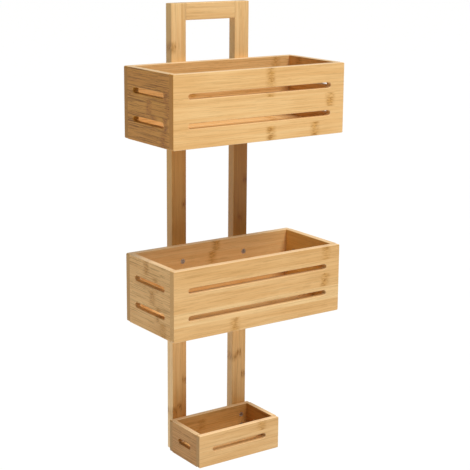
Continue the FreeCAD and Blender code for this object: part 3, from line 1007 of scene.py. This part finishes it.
    def build(self, material: bpy.types.Material) -> bpy.types.Object:
        """Make the board's object, put it in place and give it its finish.

        Args:
            material: The finish.

        Returns:
            The board, riding on the caddy's one body.
        """
        mesh = self.mesh()
        mesh.materials.append(material)
        board = bpy.data.objects.new(self.name, mesh)
        bpy.context.scene.collection.objects.link(board)
        board.matrix_world = self.matrix
        eased = board.modifiers.new("eased edges", "BEVEL")
        eased.limit_method = "WEIGHT"
        eased.width = max(self.ease, self.corner)
        eased.segments = self.ease_segments
        eased.face_strength_mode = "FSTR_AFFECTED"
        flats = board.modifiers.new("flat faces", "WEIGHTED_NORMAL")
        flats.keep_sharp = True
        flats.use_face_influence = True
        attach(board, "root")
        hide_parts(*self.nodes)
        LOG.info("%s: %d quads, %d openings", self.name, len(mesh.polygons), len(self.openings))
        return board


# ---------------------------------------------------------------- the caddy's parts


@dataclass
class Tones:
    """Draws strips for boards, so that no two boards look alike and every run is the same.

    every is the mean distance between the joints of a culm.
    """

    seed: int
    tone: tuple[float, float] = (0.32, 0.72)
    strength: tuple[float, float] = (0.6, 1.0)
    every: float = 260 * MM
    first: tuple[float, float] = (-0.5, 1.0)  # a strip's first joint, as a share of that distance
    uneven: tuple[float, float] = (0.9, 1.1)
    marks: int = 4
    clear: float = 8 * MM  # no joint is nearer a board's end
    draw: random.Random = field(init=False)

    def __post_init__(self) -> None:
        """Start the random draw."""
        self.draw = random.Random(self.seed)

    def strips(self, count: int, length: float) -> list[Strip]:
        """Draw strips with random tones, and with joints about as far apart as on a culm.

        Args:
            count: How many strips.
            length: The board's length.

        Returns:
            The strips, from the lowest up.
        """
        drawn = []
        for _ in range(count):
            first = self.draw.uniform(*self.first) * self.every
            marks = [first + i * self.every * self.draw.uniform(*self.uneven) for i in range(self.marks)]
            inside = tuple(mark for mark in marks if self.clear < mark < length - self.clear)
            tone = self.draw.uniform(*self.tone)
            strength = self.draw.uniform(*self.strength)
            drawn.append(Strip(tone, inside[:2], strength))
        return drawn


# Heights above an upright's foot where its tints are given, on its faces and on its edges.
FACE_HEIGHTS = (40 * MM, 110 * MM, 220 * MM, 330 * MM, 500 * MM, 600 * MM)
EDGE_HEIGHTS = (100 * MM, 230 * MM, 330 * MM, 500 * MM, 600 * MM)


def fade(heights: Sequence[float], shades: str) -> Stops:
    """Pair heights with sRGB hex tints, which are separated by spaces."""
    return tuple(zip(heights, shades.split()))


@dataclass
class HangingFrame:
    """The two uprights and the rail that the caddy hangs by, each pressed from three strips."""

    material: bpy.types.Material
    ease: float = 1.2 * MM
    strip: float = 26 * MM / 3
    rail_strip: float = 25 * MM / 3
    spacing: float = 20 * MM
    rail_strips: tuple[Strip, ...] = (Strip(0.78), Strip(0.88), Strip(0.80))

    # Each upright's strips, from its right edge to its left, with their joints measured from the foot,
    # and its tints. These darken it between the long baskets and behind the soap basket, in place of
    # shade that the soft light leaves out.
    uprights: ClassVar[dict[str, tuple[tuple[Strip, ...], Character]]] = {
        "left": (
            (Strip(0.66, (0.114, 0.395)), Strip(0.98, (0.068,)), Strip(0.86, (0.062, 0.63))),
            Character(
                shades=fade(FACE_HEIGHTS, "DCB888 F0E0C8 FCF8F0 D2BB90 CCB485 FFFFFF"),
                back_shades=((0.0, "FCF6EA"),),
                edge_shades=fade(EDGE_HEIGHTS, "FFFFFF FFFFFF D8C8A8 D8C8A0 E6E0CC"),
                sanded=0.15,
            ),
        ),
        "right": (
            (Strip(0.90, (0.099, 0.42)), Strip(0.80, (0.137, 0.36)), Strip(0.86, (0.133, 0.60))),
            Character(
                shades=fade(FACE_HEIGHTS, "ECDCC0 F6ECDC F6F0E4 B49A6C A88E5A FFFFFF"),
                back_shades=((0.0, "F8F2E6"),),
                edge_shades=fade(EDGE_HEIGHTS, "E6E0D2 E0DACC C8B490 C0AC88 E6E0CC"),
                sanded=0.15,
            ),
        ),
    }

    def build(self) -> None:
        """Build both uprights and the rail."""
        for side, (strips, character) in self.uprights.items():
            post = Board(
                name=f"{side}_upright",
                nodes=(f"{side}_post",),
                slot="bamboo_frame",
                grain=Way.UP,
                show=Way.FRONT,
                ease=self.ease,
                strips=strips,
                strip_width=self.strip,
                first_seam=self.strip,
                spacing=self.spacing,
                character=character,
            )
            post.build(self.material)
        rail = Board(
            name="hanging_rail",
            nodes=("top_rail",),
            slot="bamboo_frame",
            grain=Way.RIGHT,
            show=Way.FRONT,
            ease=self.ease,
            strips=self.rail_strips,
            strip_width=self.rail_strip,
            first_seam=self.rail_strip,
            butt=Butt.BOTH_ENDS,
        )
        rail.build(self.material)


class Wall(Enum):
    """A basket's walls, by the names that their nodes have."""

    FRONT = "front"
    BACK = "back"
    LEFT = "left_end"
    RIGHT = "right_end"


@dataclass
class Basket:
    """An open basket: four walls, two cleats and a slatted floor.

    node begins the names of the frame's nodes. Heights are from the walls' lower edge.
    """

    node: str
    material: bpy.types.Material
    tones: Tones
    strips: dict[Wall, tuple[Strip, ...]]
    characters: dict[Wall, Character]
    slot_centres: tuple[float, ...] = (32 * MM, 73 * MM)
    slats: int = 4
    screw_heights: tuple[float, ...] = (24.5 * MM, 80.5 * MM)
    first_seam: float = 21 * MM
    strip: float = 21 * MM
    drawn_strips: int = 6  # for a wall that has none listed
    back_first_seam: float = 15 * MM  # the back's glue lines miss the screws
    back_strip: float = 18.5 * MM
    slot_radius: float = 4 * MM
    slot_inset: float = 25 * MM
    ease: float = 1.0 * MM
    corner: float = 2.5 * MM
    rim_margin: float = 3 * MM
    screw_pitch: float = 113 * MM
    screw_radius: float = 2.25 * MM
    head_radius: float = 4.0 * MM
    slat_ease: float = 0.8 * MM
    slat_run: float = 280 * MM
    slat_screw_radius: float = 1.75 * MM
    slat_head_radius: float = 2.8 * MM
    cleat_ease: float = 0.5 * MM
    cleat_run: float = 110 * MM
    cleat_margin: float = 1.2 * MM

    # How each wall lies, which way it shows, and where it butts against its neighbours.
    layout: ClassVar[dict[Wall, tuple[Way, Way, Butt]]] = {
        Wall.FRONT: (Way.RIGHT, Way.FRONT, Butt.ENDS_OF_BACK_FACE),
        Wall.BACK: (Way.RIGHT, Way.FRONT, Butt.ENDS_OF_SHOW_FACE),
        Wall.LEFT: (Way.FRONT, Way.LEFT, Butt.BOTH_ENDS),
        Wall.RIGHT: (Way.BACK, Way.RIGHT, Butt.BOTH_ENDS),
    }

    def _openings(self, wall: Wall, size: Vector) -> list[Opening]:
        """Choose a wall's openings: screw holes in the back, and slots in the others.

        Args:
            wall: Which wall.
            size: The wall's length along the grain, height and thickness.

        Returns:
            The openings.
        """
        middle = size.x / 2
        if wall is Wall.BACK:
            sink = self.head_radius - self.screw_radius
            return [
                Opening(middle + offset, height, 0.0, self.screw_radius, self.rim_margin, sink)
                for offset in (-self.screw_pitch / 2, self.screw_pitch / 2)
                for height in self.screw_heights
            ]
        inset = self.slot_inset - (0.0 if wall is Wall.FRONT else size.z)
        reach = middle - inset - self.slot_radius
        slot = (reach, self.slot_radius, self.rim_margin)
        return [Opening(middle, height, *slot) for height in self.slot_centres]

    def build_walls(self) -> None:
        """Build the front, the back and both ends."""
        for wall, (grain, show, butt) in self.layout.items():
            is_back = wall is Wall.BACK
            board = Board(
                name=f"{self.node}_{wall.value}",
                nodes=(f"{self.node}_{wall.value}_panel",),
                slot="bamboo_panel",
                grain=grain,
                show=show,
                ease=self.ease,
                strips=self.strips.get(wall, ()),
                strip_width=self.back_strip if is_back else self.strip,
                first_seam=self.back_first_seam if is_back else self.first_seam,
                butt=butt,
                corner=self.corner if grain is Way.RIGHT else 0.0,
                character=self.characters[wall],
            )
            board.strips = board.strips or self.tones.strips(self.drawn_strips, board.size.x)
            board.openings = self._openings(wall, board.size)
            board.build(self.material)

    def build_floor(self) -> None:
        """Build the slats and the two cleats that they are screwed to."""
        slats = [f"{self.node}_floor_slat_{n + 1}" for n in range(self.slats)]
        for name in slats:
            slat = Board(
                name=name.replace("floor_slat", "slat"),
                nodes=(name,),
                slot="bamboo_slat",
                grain=Way.RIGHT,
                show=Way.UP,
                ease=self.slat_ease,
                strips=self.tones.strips(1, self.slat_run),
            )
            slat.build(self.material)
        boxes = [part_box(name) for name in slats]
        sink = self.slat_head_radius - self.slat_screw_radius
        for hand in ("left", "right"):
            name = f"{self.node}_{hand}_cleat"
            cleat = Board(
                name=f"{name}_batten",
                nodes=(name,),
                slot="bamboo_slat",
                grain=Way.BACK,
                show=Way.DOWN,
                ease=self.cleat_ease,
                strips=self.tones.strips(1, self.cleat_run),
                butt=Butt.BOTH_ENDS,
            )
            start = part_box(name)[0].y
            hole = (0.0, self.slat_screw_radius, self.cleat_margin, sink)
            places = [(low.y + high.y) / 2 - start for low, high in boxes]
            cleat.openings = [Opening(place, cleat.size.y / 2, *hole) for place in places]
            cleat.build(self.material)

    def build(self) -> None:
        """Build the whole basket."""
        self.build_walls()
        self.build_floor()


@dataclass
class Fixings:
    """The screws and dowels, which keep the frame's own solids and get their finish."""

    steel: bpy.types.Material
    birch: bpy.types.Material

    def dress(self) -> None:
        """Give every screw and dowel its finish."""
        for name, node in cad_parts.items():
            if name.endswith(("_screws", "_dowels")):
                node.data.materials.clear()
                node.data.materials.append(self.steel if name.endswith("_screws") else self.birch)
                LOG.info("%s: dressed", name)


# ---------------------------------------------------------------- studio


@dataclass
class Studio:
    """The pale sweep, the soft light and the camera.

    Angles are in degrees, and the lens and the sensor are in millimetres.
    """

    sweep: bpy.types.Material
    drop: float = 1.3
    sweep_width: float = 120
    key_energy: float = 2.70
    key_width: float = 25
    key_height: float = 58
    key_swing: float = 20
    room_strength: float = 0.33
    camera_place: tuple[float, float, float] = (-1.10329, -1.64816, 0.15279)
    yaw: float = 35.035
    pitch: float = -13.712
    roll: float = 0.4505
    lens: float = 100.98
    sensor: float = 36.0
    far_clip: float = 200.0

    def build_floor(self) -> None:
        """Lay the paper well below the hanging caddy."""
        low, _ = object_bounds()
        bpy.ops.mesh.primitive_plane_add(size=self.sweep_width, location=(0, 0, low[2] - self.drop))
        floor = bpy.context.object
        floor.name = "paper_sweep"
        floor.data.materials.append(self.sweep)
        floor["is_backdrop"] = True

    def build_lights(self) -> None:
        """Hang one wide soft light high in front and to the right, in a dim even room."""
        key = bpy.data.lights.new("wide_softbox", "SUN")
        key.energy = self.key_energy
        key.angle = math.radians(self.key_width)
        lamp = bpy.data.objects.new("wide_softbox", key)
        bpy.context.scene.collection.objects.link(lamp)
        height, swing = math.radians(self.key_height), math.radians(self.key_swing)
        level = math.cos(height)
        out = Vector((math.sin(swing) * level, -math.cos(swing) * level, math.sin(height)))
        lamp.rotation_euler = out.to_track_quat("Z", "Y").to_euler()
        world = bpy.data.worlds.new("pale_room")
        world.use_nodes = True
        room = world.node_tree.nodes["Background"]
        room.inputs["Color"].default_value = linear("FFFFFF")
        # The room lights the caddy dimly, and looks as white as the paper where it is seen itself.
        nodes = NodeGraph(world.node_tree)
        seen = nodes.add("ShaderNodeLightPath", output="Is Camera Ray")
        strength = {0: seen, 1: 1.0 - self.room_strength, 2: self.room_strength}
        strength = nodes.add("ShaderNodeMath", strength, operation="MULTIPLY_ADD")
        nodes.tree.links.new(strength, room.inputs["Strength"])
        bpy.context.scene.world = world
        bpy.context.scene.view_settings.view_transform = "Standard"

    def build_camera(self) -> None:
        """Set up the camera, with depth of field off."""
        camera = bpy.data.cameras.new("camera")
        camera.sensor_width = self.sensor
        camera.lens = self.lens
        camera.clip_end = self.far_clip
        holder = bpy.data.objects.new("camera", camera)
        bpy.context.scene.collection.objects.link(holder)
        yaw, pitch, roll = (math.radians(a) for a in (self.yaw, self.pitch, self.roll))
        level = math.cos(pitch)
        ahead = Vector((math.sin(yaw) * level, math.cos(yaw) * level, math.sin(pitch)))
        right = Vector((math.cos(yaw), -math.sin(yaw), 0))
        up = right.cross(ahead)
        right, up = (
            math.cos(roll) * right + math.sin(roll) * up,
            -math.sin(roll) * right + math.cos(roll) * up,
        )
        turn = Matrix((right, up, -ahead)).transposed().to_4x4()
        holder.matrix_world = Matrix.Translation(self.camera_place) @ turn
        bpy.context.scene.camera = holder

    def build(self) -> None:
        """Build the floor, the lights and the camera."""
        self.build_floor()
        self.build_lights()
        self.build_camera()
        LOG.info("studio: ready")


SEED = 11

# Strips given one by one, from the lowest up: tone, and where the culm's joints fall along the grain.
UPPER_STRIPS = {
    Wall.FRONT: (
        Strip(0.50, (0.166, 0.247)),
        Strip(0.56),
        Strip(0.62, (0.274,)),
        Strip(0.52, (0.165,), 0.8),
        Strip(0.46, (0.165,), 0.9),
    ),
    Wall.LEFT: (
        Strip(0.42, (0.097,)),
        Strip(0.55, (0.070, 0.101)),
        Strip(0.60, (0.058, 0.110)),
        Strip(0.52, (0.104,)),
        Strip(0.36),
    ),
}
MIDDLE_STRIPS = {
    Wall.FRONT: (
        Strip(0.42, (0.106,)),
        Strip(0.86),
        Strip(0.44, (0.273,)),
        Strip(0.54),
        Strip(0.32, (0.274,)),
    ),
    Wall.LEFT: (
        Strip(0.45, (0.093,)),
        Strip(0.52, (0.079,)),
        Strip(0.58, (0.064,)),
        Strip(0.50, (0.072,)),
        Strip(0.40, (0.047,)),
    ),
}
SOAP_STRIPS = {
    Wall.FRONT: (Strip(0.46), Strip(0.58), Strip(0.50, (0.117,))),
    Wall.LEFT: (Strip(0.40), Strip(0.55), Strip(0.48)),
}

# Tints of each wall's show face, its other face and its end grain, and how strongly its fibres show.
# The darker tints are painted shade, on the upper left end, the end grain, the lower fronts and the soap
# basket.
UPPER_WALLS = {
    Wall.FRONT: wall_character("FCFCFC", "FCF6EA", "E3C472", 1.0),
    Wall.BACK: wall_character("FFFFFF", "FCF6EA", "D4BA70", 1.8),
    Wall.LEFT: wall_character("DEC276", "F0E2C8", "DEC276", 3.9),
    Wall.RIGHT: wall_character("FAF2E0", "F4E2C0", "F4E2C0", 2.0),
}
MIDDLE_WALLS = {
    Wall.FRONT: wall_character("F2F2F4", "FCF6EA", "FFF7E3", 1.3),
    Wall.BACK: wall_character("FFFFFF", "FCF6EA", "E8DEC8", 0.9),
    Wall.LEFT: wall_character("FFFBF0", "FCF8E6", "FCF8E6", 2.8),
    Wall.RIGHT: wall_character("FAF2E4", "FFFCD8", "F4ECD4", 1.0),
}
SOAP_WALLS = {
    Wall.FRONT: wall_character("EBEBEF", "F6EEDE", "E0D6C4", 1.2),
    Wall.BACK: wall_character("E4D8C0", "F6EEDE", "D8CCB4", 1.6),
    Wall.LEFT: wall_character("DCC8A6", "E6D6B8", "DCC8A6", 3.0),
    Wall.RIGHT: wall_character("F2E8D2", "C8AA74", "E2D2B4", 2.0),
}


def main() -> None:
    """Build every part of the caddy in order, and the studio round it."""
    logging.basicConfig(level=logging.INFO, format="%(name)s: %(message)s")
    bamboo = LacqueredBamboo("lacquered_strip_bamboo").material()
    tones = Tones(SEED)
    HangingFrame(bamboo).build()
    Basket("upper_basket", bamboo, tones, UPPER_STRIPS, UPPER_WALLS).build()
    Basket("middle_basket", bamboo, tones, MIDDLE_STRIPS, MIDDLE_WALLS).build()
    Basket(
        "soap_basket",
        bamboo,
        tones,
        SOAP_STRIPS,
        SOAP_WALLS,
        slot_centres=(26 * MM,),
        slats=3,
        screw_heights=(17 * MM, 35 * MM),
        first_seam=15.5 * MM,
        back_first_seam=9.2 * MM,
        back_strip=17 * MM,
    ).build()
    steel = StainlessScrew("tumbled_stainless_steel").material()
    birch = TurnedBirch("turned_birch").material()
    Fixings(steel, birch).dress()
    Studio(PaperSweep("matt_studio_paper").material()).build()


if __name__ == "__main__":
    main()
